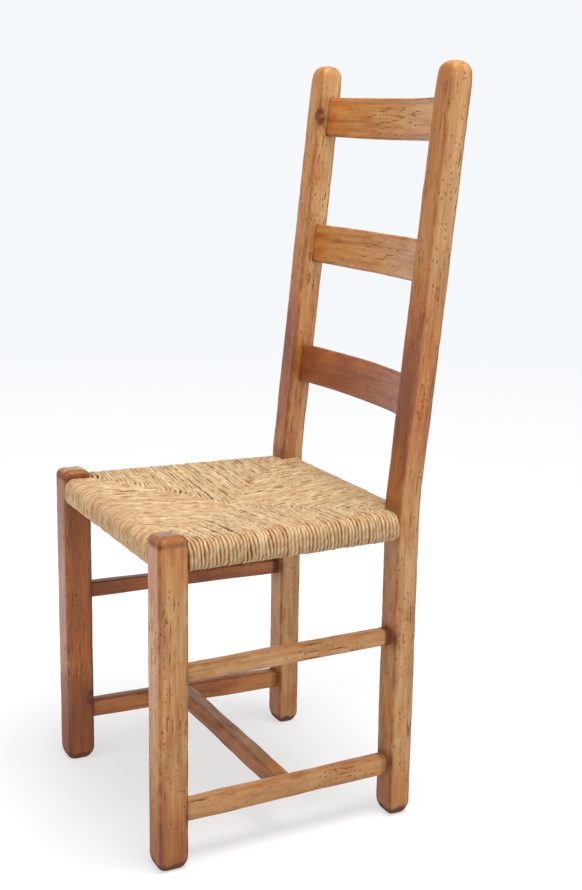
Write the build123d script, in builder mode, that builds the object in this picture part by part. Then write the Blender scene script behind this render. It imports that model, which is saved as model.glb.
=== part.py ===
from build123d import *
from math import cos, hypot, radians, sin, sqrt
import os

# A rush-seated ladder-back dining chair, in millimetres.
# The origin is on the floor under the middle of the chair's outline. +Z is up, the sitter
# faces -Y and the sitter's left hand is on the +X side.

# Heights. The front posts' tops and the bend of the rear posts stand just above the seat.
HEIGHT = 1075.0
SEAT_HEIGHT = 459.5
FRONT_POST_SHOW = 10.5
BEND_RISE = 10.5

# Posts. The rear posts stand upright to the bend and lean back by the rake above it.
FRONT_POST = 43.5
REAR_POST_WIDTH = 42.5
REAR_POST_DEPTH = 36.0
FRONT_SPREAD = 383.0
REAR_SPREAD = 361.5
POST_SPACING = 360.0
BEND_RADIUS = 250.0
RAKE = 5.75
POST_ARRIS = 5.5
FRONT_TOP_ROUND = 10.0
REAR_TOP_ROUND = 15.0
FOOT_ROUND = 9.0

# Seat. A roll is a rail with the rush wound round it, and the strands lie in ribs.
ROLL = 41.5
RUSH = 6.5
RUSH_VALLEY = 4.6
STRAND_PITCH = 5.5
SEAT_DIP = 15.5
RAIL_CORNER = 8.0
RUSH_TO_RAIL = 0.1
RUSH_TO_POST = 0.4
RUSH_TO_PACKING = 0.2

# Back slats, from the top down, at shares of the back's height above the seat. The bow is
# the hollow of the back between the posts.
SLAT_SHARES = (0.875, 0.5605, 0.253)
SLAT_WIDTH = 60.0
SLAT_THICKNESS = 12.0
SLAT_BOW = 17.0
SLAT_SET_BACK = 2.5
SLAT_ARRIS = 2.0

# Stretchers. The cross stretcher's place is a share of the way from front to back.
UPPER_STRETCHER = 274.5
UPPER_HEIGHT = 23.5
UPPER_WIDTH = 19.0
LOWER_STRETCHER = 77.0
LOWER_HEIGHT = 27.5
LOWER_WIDTH = 21.0
STRETCHER_ARRIS = 4.0
CROSS_WIDTH = 25.0
CROSS_PLACE = 0.49

# Joints. Rail tenons are staggered, so that two meet in a post without touching.
JOINT_CLEARANCE = 0.1
END_GAP = 1.0
TENON_LENGTH = 22.0
TENON_WIDTH = 11.0
TENON_HEIGHT = 16.0
RAIL_TENON_WIDTH = 13.0
RAIL_TENON_HEIGHT = 10.0
RAIL_TENON_STAGGER = 6.0
SLAT_TENON = 18.0
CROSS_TENON = 12.0

# Places that follow from the sizes above
rake = radians(RAKE)
front_post_height = SEAT_HEIGHT + FRONT_POST_SHOW
bend_height = SEAT_HEIGHT + BEND_RISE
slat_heights = [SEAT_HEIGHT + share * (HEIGHT - SEAT_HEIGHT) for share in SLAT_SHARES]
front_x = FRONT_SPREAD / 2
rear_x = REAR_SPREAD / 2
top_shoulder = REAR_POST_DEPTH / 2 - REAR_TOP_ROUND
raked_rise = HEIGHT - bend_height - REAR_TOP_ROUND - top_shoulder * sin(rake)
raked_length = REAR_TOP_ROUND + raked_rise / cos(rake)
post_reach = raked_rise / cos(rake) * sin(rake) + top_shoulder * cos(rake) + REAR_TOP_ROUND
slat_back = SLAT_SET_BACK + SLAT_BOW + SLAT_THICKNESS / 2
slat_lean = (slat_heights[0] - bend_height) / cos(rake) + SLAT_WIDTH / 2 - SLAT_ARRIS
slat_reach = slat_lean * sin(rake) + slat_back * cos(rake)
back_reach = max(post_reach, slat_reach)
front_y = -(POST_SPACING + back_reach - FRONT_POST / 2) / 2
rear_y = front_y + POST_SPACING
front_inner = front_x - FRONT_POST / 2
rear_inner = rear_x - REAR_POST_WIDTH / 2
front_shoulder = front_y + FRONT_POST / 2
rear_shoulder = rear_y - REAR_POST_DEPTH / 2
side_run = rear_shoulder - front_shoulder
rail = ROLL - 2 * RUSH
rail_z = SEAT_HEIGHT - ROLL / 2
front_rail_y = front_y - FRONT_POST / 2 + ROLL / 2 + RUSH_TO_RAIL
back_rail_y = rear_y + REAR_POST_DEPTH / 2 - ROLL / 2
left_rail_front = front_x + FRONT_POST / 2 - ROLL / 2
left_rail_rear = rear_x + REAR_POST_WIDTH / 2 - ROLL / 2
left_rail_lean = (left_rail_rear - left_rail_front) / side_run
seat_middle = (front_rail_y + back_rail_y) / 2
cross_y = front_shoulder + CROSS_PLACE * side_run
cross_end = front_x + (rear_x - front_x) * CROSS_PLACE - LOWER_WIDTH / 2


def facing_front(x, y, z):
    """Upright plane across the chair that looks forward, with its local y axis up."""
    return Plane(origin=(x, y, z), x_dir=(1, 0, 0), z_dir=(0, -1, 0))


def facing_back(x, y, z):
    """Upright plane across the chair that looks backward."""
    return Plane(origin=(x, y, z), x_dir=(-1, 0, 0), z_dir=(0, 1, 0))


def facing_left(x, y, z):
    """Upright plane along the chair that looks to the sitter's left, with its local y axis up."""
    return Plane(origin=(x, y, z), x_dir=(0, 1, 0), z_dir=(1, 0, 0))


def facing_right(x, y, z):
    """Upright plane along the chair that looks to the sitter's right."""
    return Plane(origin=(x, y, z), x_dir=(0, -1, 0), z_dir=(-1, 0, 0))


def mortise(mouth, width, height, depth):
    """Cut a blind mortise into the piece being built. The mouth plane looks out of the wood."""
    with BuildSketch(mouth) as opening:
        Rectangle(width + 2 * JOINT_CLEARANCE, height + 2 * JOINT_CLEARANCE)
    extrude(opening.sketch, amount=-depth - END_GAP, mode=Mode.SUBTRACT)


def tenon(shoulder, width, height, length):
    """Add a tenon to the piece being built, standing on the plane of its shoulder."""
    with BuildSketch(shoulder) as section:
        Rectangle(width, height)
    extrude(section.sketch, amount=length)


def round_ends(view, width, height, top_round):
    """Round the top and the foot of the post being built, as seen along the plane's normal."""
    with BuildSketch(Plane.XY) as outline:
        with Locations((0, height / 2)):
            Rectangle(width, height)
        fillet(outline.vertices().group_by(Axis.Y)[-1], top_round)
        fillet(outline.vertices().group_by(Axis.Y)[0], FOOT_ROUND)
    extrude(view * outline.sketch, amount=HEIGHT, both=True, mode=Mode.INTERSECT)


def side_bar(front_end, rear_end, z, width, height, corner):
    """A bar along the left side from post face to post face, with its ends cut to the faces."""
    with BuildPart() as bar:
        with BuildSketch(facing_front(front_end, front_shoulder, z)):
            RectangleRounded(width, height, corner)
        lean = rear_end - front_end
        extrude(amount=hypot(lean, side_run), dir=(lean, side_run, 0))
    return bar.part


def slat_plane(height):
    """Plane square to the raked posts, through their middle line at the given height."""
    lean = (height - bend_height) * sin(rake) / cos(rake)
    return Plane(origin=(0, rear_y + lean, height), x_dir=(1, 0, 0), z_dir=(0, sin(rake), cos(rake)))


def slat_blank(height, reach, thickness, width):
    """A bowed slab that ends at x = reach each way. Its arc bows back between the posts."""
    radius = (rear_inner**2 + SLAT_BOW**2) / (2 * SLAT_BOW)
    middle = SLAT_SET_BACK + SLAT_BOW
    end = middle - radius + sqrt(radius**2 - reach**2)
    with BuildPart() as blank:
        with BuildSketch(slat_plane(height)):
            with BuildLine():
                curve = ThreePointArc((-reach, end), (0, middle), (reach, end))
            trace(curve, thickness)
        extrude(amount=width / 2, both=True)
    return blank.part


# Front posts: square, with planed arrises and pillowed tops, mortised on two faces.
with BuildPart() as front_post_left:
    with BuildSketch(Plane(origin=(front_x, front_y, 0))) as section:
        Rectangle(FRONT_POST, FRONT_POST)
        chamfer(section.vertices(), POST_ARRIS)
    extrude(amount=front_post_height)
    round_ends(facing_front(front_x, front_y, 0), FRONT_POST, front_post_height, FRONT_TOP_ROUND)
    round_ends(facing_left(front_x, front_y, 0), FRONT_POST, front_post_height, FRONT_TOP_ROUND)
    for level in (UPPER_STRETCHER, LOWER_STRETCHER):
        mortise(facing_back(front_x, front_shoulder, level), TENON_WIDTH, TENON_HEIGHT, TENON_LENGTH)
    mortise(
        facing_back(left_rail_front, front_shoulder, rail_z - RAIL_TENON_STAGGER),
        RAIL_TENON_WIDTH,
        RAIL_TENON_HEIGHT,
        TENON_LENGTH,
    )
    mortise(
        facing_right(front_inner, front_rail_y, rail_z + RAIL_TENON_STAGGER),
        RAIL_TENON_WIDTH,
        RAIL_TENON_HEIGHT,
        TENON_LENGTH,
    )

with BuildPart() as front_post_right:
    mirror(front_post_left.part, about=Plane.YZ)

# Rear posts: each is sawn from one plank to a cranked outline, and its arrises are planed off.
with BuildPart() as rear_post_left:
    half = REAR_POST_DEPTH / 2
    kink = half * sin(rake) / (1 + cos(rake))
    top = (raked_length * sin(rake), bend_height + raked_length * cos(rake))
    with BuildSketch(facing_left(rear_x, rear_y, 0)) as crank:
        with BuildLine():
            Polyline(
                (-half, 0),
                (half, 0),
                (half, bend_height - kink),
                (top[0] + half * cos(rake), top[1] - half * sin(rake)),
                (top[0] - half * cos(rake), top[1] + half * sin(rake)),
                (-half, bend_height + kink),
                close=True,
            )
        make_face()
        fillet(crank.vertices().sort_by(Axis.Y)[4:6], REAR_TOP_ROUND)
        fillet(crank.vertices().sort_by(Axis.Y)[2:4], BEND_RADIUS)
        fillet(crank.vertices().sort_by(Axis.Y)[0:2], FOOT_ROUND)
    extrude(amount=REAR_POST_WIDTH / 2, both=True)
    sides = rear_post_left.faces().sort_by(Axis.X)
    chamfer(sides[0].edges() + sides[-1].edges(), POST_ARRIS)
    round_ends(facing_front(rear_x, rear_y, 0), REAR_POST_WIDTH, HEIGHT, REAR_TOP_ROUND)
    for level in (UPPER_STRETCHER, LOWER_STRETCHER):
        mortise(facing_front(rear_x, rear_shoulder, level), TENON_WIDTH, TENON_HEIGHT, TENON_LENGTH)
    mortise(
        facing_front(left_rail_rear, rear_shoulder, rail_z - RAIL_TENON_STAGGER),
        RAIL_TENON_WIDTH,
        RAIL_TENON_HEIGHT,
        TENON_LENGTH,
    )
    mortise(
        facing_right(rear_inner, back_rail_y, rail_z + RAIL_TENON_STAGGER),
        RAIL_TENON_WIDTH,
        RAIL_TENON_HEIGHT,
        TENON_LENGTH,
    )
    for level in slat_heights:
        hollow = slat_blank(
            level,
            rear_inner + SLAT_TENON + END_GAP,
            SLAT_THICKNESS + 2 * JOINT_CLEARANCE,
            SLAT_WIDTH + 2 * JOINT_CLEARANCE,
        )
        add(hollow, mode=Mode.SUBTRACT)

with BuildPart() as rear_post_right:
    mirror(rear_post_left.part, about=Plane.YZ)

# Back slats: three thin boards, steamed to one hollow and let into the rear posts.
slats = []
for level in slat_heights:
    with BuildPart() as slat:
        add(slat_blank(level, rear_inner + SLAT_TENON, SLAT_THICKNESS, SLAT_WIDTH))
        faces_up = slat.faces().sort_by(Axis((0, 0, 0), (0, sin(rake), cos(rake))))
        curved = faces_up[0].edges().filter_by(GeomType.CIRCLE)
        curved += faces_up[-1].edges().filter_by(GeomType.CIRCLE)
        chamfer(curved, SLAT_ARRIS)
    slats.append(slat.part)

# Side stretchers: square-shouldered bars, two on each side, one above the other.
side_stretchers = []
stretcher_sizes = (
    (UPPER_STRETCHER, UPPER_WIDTH, UPPER_HEIGHT),
    (LOWER_STRETCHER, LOWER_WIDTH, LOWER_HEIGHT),
)
for level, width, height in stretcher_sizes:
    with BuildPart() as stretcher:
        add(side_bar(front_x, rear_x, level, width, height, STRETCHER_ARRIS))
        tenon(facing_front(front_x, front_shoulder, level), TENON_WIDTH, TENON_HEIGHT, TENON_LENGTH)
        tenon(facing_back(rear_x, rear_shoulder, level), TENON_WIDTH, TENON_HEIGHT, TENON_LENGTH)
        if level == LOWER_STRETCHER:
            inside = facing_right(cross_end - CROSS_TENON, cross_y, level)
            mortise(inside, TENON_WIDTH, TENON_HEIGHT, 2 * CROSS_TENON)
    side_stretchers.append(stretcher.part)

# Cross stretcher: joins the two lower side stretchers, with its shoulders cut to their lean.
with BuildPart() as cross_stretcher:
    with BuildSketch(facing_left(0, cross_y, LOWER_STRETCHER)):
        RectangleRounded(CROSS_WIDTH, LOWER_HEIGHT, STRETCHER_ARRIS)
    extrude(amount=front_x, both=True)
    for side in (1, -1):
        lean = side * (rear_x - front_x)
        shoulder = Plane(
            origin=(side * cross_end, cross_y, LOWER_STRETCHER),
            x_dir=(lean, side_run, 0),
            z_dir=(side * side_run, -side * lean, 0),
        )
        split(bisect_by=shoulder, keep=Keep.BOTTOM)
    with BuildSketch(facing_left(0, cross_y, LOWER_STRETCHER)):
        Rectangle(TENON_WIDTH, TENON_HEIGHT)
    extrude(amount=cross_end + CROSS_TENON, both=True)

# Seat rails: rounded bars hidden inside the rush, which carry the sitter's weight.
with BuildPart() as left_seat_rail:
    add(side_bar(left_rail_front, left_rail_rear, rail_z, rail, rail, RAIL_CORNER))
    tenon(
        facing_front(left_rail_front, front_shoulder, rail_z - RAIL_TENON_STAGGER),
        RAIL_TENON_WIDTH,
        RAIL_TENON_HEIGHT,
        TENON_LENGTH,
    )
    tenon(
        facing_back(left_rail_rear, rear_shoulder, rail_z - RAIL_TENON_STAGGER),
        RAIL_TENON_WIDTH,
        RAIL_TENON_HEIGHT,
        TENON_LENGTH,
    )

with BuildPart() as right_seat_rail:
    mirror(left_seat_rail.part, about=Plane.YZ)

cross_rails = []
for rail_y, inner in ((front_rail_y, front_inner), (back_rail_y, rear_inner)):
    with BuildPart() as cross_rail:
        with BuildSketch(facing_left(0, rail_y, rail_z)):
            RectangleRounded(rail, rail, RAIL_CORNER)
        extrude(amount=inner, both=True)
        with BuildSketch(facing_left(0, rail_y, rail_z + RAIL_TENON_STAGGER)):
            Rectangle(RAIL_TENON_WIDTH, RAIL_TENON_HEIGHT)
        extrude(amount=inner + TENON_LENGTH, both=True)
    cross_rails.append(cross_rail.part)


def left_rail_x(y):
    """Where the middle line of the left seat rail stands at the given y."""
    return left_rail_front + (y - front_shoulder) * left_rail_lean


def mitre_x(y):
    """Where the mitre between two rush panels stands on the left side at the given y."""
    corner_y = front_rail_y if y < seat_middle else back_rail_y
    return left_rail_x(corner_y) * (y - seat_middle) / (corner_y - seat_middle)


def cross_panel(rail_y, inner):
    """Plan of the front or the back panel: from the middle to the posts, and out past the rail."""
    limit = inner - RUSH_TO_POST
    mitre_y = seat_middle + (rail_y - seat_middle) * limit / left_rail_x(rail_y)
    beyond = rail_y + (ROLL if rail_y > seat_middle else -ROLL)
    return (0, seat_middle), (limit, mitre_y), (limit, beyond), (-limit, beyond), (-limit, mitre_y)


def rush_panel(out, reach, length, plan):
    """One triangle of the seat: ribbed rush from the middle, round its rail and back below.

    The ribbed section is carried along the wrap, and the plan then cuts it to its mitres.
    """
    inside = rail / 2 + RUSH_TO_RAIL
    corner = RAIL_CORNER + RUSH_TO_RAIL
    bulge = corner / cos(radians(15))
    turn = reach + inside - corner
    rise = inside - corner
    wrap_points = [(0, SEAT_HEIGHT - SEAT_DIP - RUSH), (reach - rise, rail_z + inside)]
    for angle in (75, 45, 15):
        step = radians(angle)
        wrap_points.append((turn + bulge * cos(step), rail_z + rise + bulge * sin(step)))
    for angle in (15, 45, 75):
        step = radians(angle)
        wrap_points.append((turn + bulge * cos(step), rail_z - rise - bulge * sin(step)))
    wrap_points.append((0, rail_z - inside))
    strands = int(length / STRAND_PITCH) + 2
    edge = -strands * STRAND_PITCH / 2
    ribs = [(edge, 0), (edge, RUSH_VALLEY)]
    for strand in range(strands):
        start = edge + strand * STRAND_PITCH
        ribs.append((start + 0.28 * STRAND_PITCH, RUSH))
        ribs.append((start + 0.72 * STRAND_PITCH, RUSH))
        ribs.append((start + STRAND_PITCH, RUSH_VALLEY))
    ribs.append((-edge, 0))
    with BuildPart() as panel:
        upright = Plane(origin=(0, seat_middle, 0), x_dir=(*out, 0), z_dir=(out[1], -out[0], 0))
        with BuildLine(upright) as wrap:
            Polyline(*wrap_points)
        section = Plane(origin=wrap.line @ 0, x_dir=(-out[1], out[0], 0), z_dir=wrap.line % 0)
        with BuildSketch(section):
            with BuildLine():
                Polyline(*ribs, close=True)
            make_face()
        sweep(path=wrap.line, transition=Transition.RIGHT)
        with BuildSketch(Plane.XY.offset(rail_z)):
            with BuildLine():
                Polyline(*plan, close=True)
            make_face()
        extrude(amount=ROLL, both=True, mode=Mode.INTERSECT)
    return panel.part


def packing_pad(out, reach, length, plan):
    """The packing between the two layers of one panel: a wedge that thins to the middle."""
    inside = rail / 2 + RUSH_TO_RAIL
    slope = (rail_z + inside - (SEAT_HEIGHT - SEAT_DIP - RUSH)) / (reach - inside + RAIL_CORNER)
    far = reach - rail / 2 - RUSH_TO_PACKING
    floor = rail_z - inside + RUSH_TO_PACKING
    crown = SEAT_HEIGHT - SEAT_DIP - RUSH - RUSH_TO_PACKING
    with BuildPart() as pad:
        upright = Plane(origin=(0, seat_middle, 0), x_dir=(*out, 0), z_dir=(out[1], -out[0], 0))
        with BuildSketch(upright):
            with BuildLine():
                Polyline((0, floor), (far, floor), (far, crown + slope * far), (0, crown), close=True)
            make_face()
        extrude(amount=length, both=True)
        with BuildSketch(Plane.XY.offset(rail_z)):
            with BuildLine():
                Polyline(*plan, close=True)
            make_face()
        extrude(amount=ROLL, both=True, mode=Mode.INTERSECT)
    return pad.part


# Rush seat: strands run square to each rail and meet on the mitres, over a packed inside.
front_plan = cross_panel(front_rail_y, front_inner)
back_plan = cross_panel(back_rail_y, rear_inner)
front_limit = front_shoulder + RUSH_TO_POST
back_limit = rear_shoulder - RUSH_TO_POST
left_plan = (
    (0, seat_middle),
    (mitre_x(front_limit), front_limit),
    (front_x + ROLL, front_limit),
    (front_x + ROLL, back_limit),
    (mitre_x(back_limit), back_limit),
)
square_up = 1 / hypot(1, left_rail_lean)
left_out = (square_up, -left_rail_lean * square_up)
left_reach = left_rail_x(seat_middle) * square_up
front_reach = seat_middle - front_rail_y
panel_sites = {
    "front": ((0, -1), front_reach, 2 * front_inner, front_plan),
    "back": ((0, 1), front_reach, 2 * rear_inner, back_plan),
    "left": (left_out, left_reach, side_run, left_plan),
}
rush = {side: rush_panel(*site) for side, site in panel_sites.items()}
packing = {side: packing_pad(*site) for side, site in panel_sites.items()}
for panels in (rush, packing):
    with BuildPart() as right_panel:
        mirror(panels["left"], about=Plane.YZ)
    panels["right"] = right_panel.part

pieces = {
    "front_post_left": front_post_left.part,
    "front_post_right": front_post_right.part,
    "rear_post_left": rear_post_left.part,
    "rear_post_right": rear_post_right.part,
    "cross_stretcher": cross_stretcher.part,
    "left_seat_rail": left_seat_rail.part,
    "right_seat_rail": right_seat_rail.part,
    "front_seat_rail": cross_rails[0],
    "back_seat_rail": cross_rails[1],
}
for name, slat_part in zip(("top_slat", "middle_slat", "bottom_slat"), slats):
    pieces[name] = slat_part
for name, left_part in zip(("upper_stretcher", "lower_stretcher"), side_stretchers):
    pieces[f"{name}_left"] = left_part
    with BuildPart() as right_stretcher:
        mirror(left_part, about=Plane.YZ)
    pieces[f"{name}_right"] = right_stretcher.part
for side in ("front", "back", "left", "right"):
    pieces[f"{side}_rush"] = rush[side]
    pieces[f"{side}_packing"] = packing[side]

os.makedirs("parts", exist_ok=True)
for name, piece in pieces.items():
    piece.label = name
    export_step(piece, f"parts/{name}.step")
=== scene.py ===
import bpy
import numpy as np
from mathutils import Matrix, Vector


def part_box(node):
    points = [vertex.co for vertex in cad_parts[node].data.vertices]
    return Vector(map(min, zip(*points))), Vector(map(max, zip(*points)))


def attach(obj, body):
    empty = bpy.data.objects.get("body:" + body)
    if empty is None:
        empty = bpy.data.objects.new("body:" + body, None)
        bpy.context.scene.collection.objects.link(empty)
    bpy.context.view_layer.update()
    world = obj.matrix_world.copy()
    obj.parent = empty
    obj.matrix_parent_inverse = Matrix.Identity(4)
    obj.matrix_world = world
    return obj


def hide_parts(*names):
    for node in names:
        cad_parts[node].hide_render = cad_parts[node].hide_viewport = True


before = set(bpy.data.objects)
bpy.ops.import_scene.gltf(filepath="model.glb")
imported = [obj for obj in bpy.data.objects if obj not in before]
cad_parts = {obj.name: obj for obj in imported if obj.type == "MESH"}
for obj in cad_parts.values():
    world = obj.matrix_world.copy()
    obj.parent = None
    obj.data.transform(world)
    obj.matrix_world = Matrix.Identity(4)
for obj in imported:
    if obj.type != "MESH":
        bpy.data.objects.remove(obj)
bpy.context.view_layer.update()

# Front posts: two square posts of pale hardwood, planed by hand, with the arrises taken off, the
# tops domed and the feet worn round. Waxed, wormed and split by drying checks; the dark rim at the
# soles is painted contact shade.
POST_ARRIS = 0.0038
POST_CRISPNESS = 26.0
POST_COLUMNS = 96
FRONT_SPARED = 0.30
FRONT_DOME, FRONT_TOP_INSET = 0.0115, 0.0085
FRONT_LEVEL = (0.0022, 0.0075)
CROWN_RISE, SOLE_INSET = 0.0008, 0.002
FOOT_ROUND, FOOT_HEIGHT = 0.0080, 0.0150
FOOT_WEAR, FOOT_SOFTENING = 1.3, 10.0
SOLE_SHADE, SOLE_FULL = 0.0135, 0.0095
FOOT_SHADE, SEAT_SHADE = (0.17, 0.05), (0.32, 0.41)
PLANING, NIBBLE = 0.00026, 0.00025
ROW_STEP = 0.0025
UPPER_LEVEL, LOWER_LEVEL = 0.2745, 0.0770
FOOT_KNOT = (0.102, 0.0215, 0.0165)
KNOT_RADIUS = 0.006
GRAIN_STEP, GRAIN_SHIFT = 0.37, 0.11
CHECK_WAVER = (0.0, 0.0045, 0.0045)
FACET_GRIME, FACET_SHADE, PATCH_SHADE = 0.34, 0.30, 0.16
WOOD_STREAKS = (
    (0.33, (0.235, 0.100, 0.025)),
    (0.47, (0.335, 0.167, 0.055)),
    (0.59, (0.420, 0.236, 0.095)),
)
PATINA_AND_SHADE = (
    (0.00, (0.56, 0.25, 0.06)),
    (0.35, (0.92, 0.54, 0.20)),
    (0.65, (1.00, 0.77, 0.44)),
    (1.00, (1.00, 1.00, 1.00)),
)
MOTTLE_TINT, PORE_TINT = (0.86, 0.67, 0.46), (0.55, 0.42, 0.34)
RUBBED_WOOD = (0.460, 0.285, 0.140)
CRACK_BROWN = (0.165, 0.056, 0.013)
OLD_WAX_AND_SHADE = (0.100, 0.024, 0.004)


def ripple(places, length, seed):
    """Smooth noise from about -1 to 1: the mean of sixteen plane waves with drawn directions and
    phases, whose lengths lie round the given one. Places are points in metres."""
    draw = np.random.default_rng(seed)
    ways = draw.normal(size=(3, 16))
    ways /= np.linalg.norm(ways, axis=0)
    ways *= 2 * np.pi / (length * draw.uniform(0.6, 1.7, 16))
    waves = np.sin(places @ ways + draw.uniform(0, 2 * np.pi, 16))
    return waves.mean(axis=-1) * 2.2


def ease(value, low, high):
    """Smooth step: 0 at low, 1 at high, and a cubic between them."""
    share = np.clip((value - low) / (high - low), 0, 1)
    return share * share * (3 - 2 * share)


def near(value, place, reach):
    """A soft bump of height 1 at a place: the bell curve of the distance over the reach."""
    return np.exp(-(((value - place) / reach) ** 2))


def round_section(columns):
    """Angles once round a section, crowded towards its four arrises."""
    even = np.arange(columns) * 2 * np.pi / columns
    return even + 0.15 * np.sin(4 * even)


def carry(spine, across, through, half_across, half_through, arris, crispness, angle):
    """A planed section carried along a spine. Two pairs of faces and the four arrises planed off
    between them bound it: in polar form its radius is one over the p-norm of |cos|, |sin| and
    (a |cos| + b |sin|) / (a + b - arris), where a and b are the half sizes, and the arris may
    differ from row to row and round the section. Returns the points, rows by columns by 3, and the
    share of the third term, which is about 1 on a planed arris and a half in the middle of a
    face."""
    cosine, sine = np.abs(np.cos(angle)), np.abs(np.sin(angle))
    a, b = half_across[:, None], half_through[:, None]
    corner = (a * cosine + b * sine) / (a + b - arris)
    power = crispness[:, None]
    norm = (cosine**power + sine**power + corner**power) ** (1 / power)
    points = spine[:, None] + across[:, None] * (a * np.cos(angle) / norm)[..., None]
    points = points + through[:, None] * (b * np.sin(angle) / norm)[..., None]
    return points, corner / norm


def skin(name, points, attributes):
    """A closed piece from a grid of rows by columns: quads between the rows, which join up round
    the section, and one flat face at each end. Attributes are arrays on the points."""
    rows, columns = points.shape[:2]
    first = np.arange(columns)
    following = np.roll(first, -1)
    row = np.arange(rows - 1)[:, None] * columns
    above = row + columns
    quads = np.stack([row + first, row + following, above + following, above + first], -1)
    caps = [first[::-1].tolist(), (first + (rows - 1) * columns).tolist()]
    mesh = bpy.data.meshes.new(name)
    mesh.from_pydata(points.reshape(-1, 3), [], quads.reshape(-1, 4).tolist() + caps)
    for key, values in attributes.items():
        kind, field = ("FLOAT_VECTOR", "vector") if values.ndim == 3 else ("FLOAT", "value")
        layer = mesh.attributes.new(key, kind, "POINT")
        layer.data.foreach_set(field, values.astype(np.float32).ravel())
    mesh.polygons.foreach_set("use_smooth", np.full(len(mesh.polygons), True))
    piece = bpy.data.objects.new(name, mesh)
    bpy.context.scene.collection.objects.link(piece)
    return piece


def node(tree, kind, settings=None, **inputs):
    """One shader node. Inputs go by name, or by number as i0, i1 and i2. A value that is a socket
    is linked, and any other is set on the input."""
    made = tree.nodes.new(kind)
    for key, value in (settings or {}).items():
        setattr(made, key, value)
    for key, value in inputs.items():
        socket = made.inputs[int(key[1:]) if key[1:].isdigit() else key.replace("_", " ")]
        if isinstance(value, bpy.types.NodeSocket):
            tree.links.new(value, socket)
        else:
            socket.default_value = value
    return made


def sums(tree, operation, first, second=0.0, third=0.0):
    """A math node's result."""
    made = node(tree, "ShaderNodeMath", {"operation": operation}, i0=first, i1=second, i2=third)
    return made.outputs[0]


def span(tree, value, low, high, start=0.0, end=1.0):
    """A value mapped smoothly from low..high to start..end and held there beyond."""
    settings = {"interpolation_type": "SMOOTHSTEP"}
    made = node(tree, "ShaderNodeMapRange", settings, Value=value, From_Min=low, From_Max=high)
    made.inputs["To Min"].default_value = start
    made.inputs["To Max"].default_value = end
    return made.outputs["Result"]


def blend(tree, share, first, second, mode="MIX"):
    """Two colours mixed by a share."""
    made = node(tree, "ShaderNodeMix", {"data_type": "RGBA", "blend_type": mode}, Factor=share)
    for socket, value in ((made.inputs[6], first), (made.inputs[7], second)):
        if isinstance(value, bpy.types.NodeSocket):
            tree.links.new(value, socket)
        else:
            socket.default_value = (*value, 1)
    return made.outputs[2]


def colours_along(tree, value, stops):
    """A colour ramp through the given places and colours."""
    ramp = node(tree, "ShaderNodeValToRGB", Fac=value)
    line = ramp.color_ramp.elements
    while len(line) < len(stops):
        line.new(0.5)
    for stop, (place, colour) in zip(line, stops):
        stop.position = place
        stop.color = (*colour, 1)
    return ramp.outputs[0]


def reading(tree, name, output="Fac"):
    """What the piece's own attribute of that name holds."""
    return node(tree, "ShaderNodeAttribute", {"attribute_name": name}).outputs[output]


def stretched(tree, vector, along, across):
    """Grain coordinates scaled by one number along the grain and another across it."""
    return node(tree, "ShaderNodeMapping", Vector=vector, Scale=(along, across, across)).outputs[0]


def cloudy(tree, vector, detail=4.0, roughness=0.55, distortion=0.0):
    """Fractal noise of unit scale."""
    made = node(tree, "ShaderNodeTexNoise", Vector=vector, Scale=1.0, Detail=detail)
    made.inputs["Roughness"].default_value = roughness
    made.inputs["Distortion"].default_value = distortion
    return made.outputs["Fac"]


def flecks(tree, vector, radius, share):
    """Ragged spots round the points of a cell pattern, kept in a share of the cells only."""
    raggedness = cloudy(tree, vector, 2.0)
    cells = node(tree, "ShaderNodeTexVoronoi", Vector=vector, Scale=1.0)
    distance = sums(tree, "MULTIPLY_ADD", raggedness, 0.5, cells.outputs["Distance"])
    spot = span(tree, distance, radius * 0.7 + 0.22, radius + 0.27, 1.0, 0.0)
    draw = node(tree, "ShaderNodeSeparateColor", Color=cells.outputs["Color"]).outputs[0]
    return sums(tree, "MULTIPLY", spot, sums(tree, "LESS_THAN", draw, share))


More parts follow.
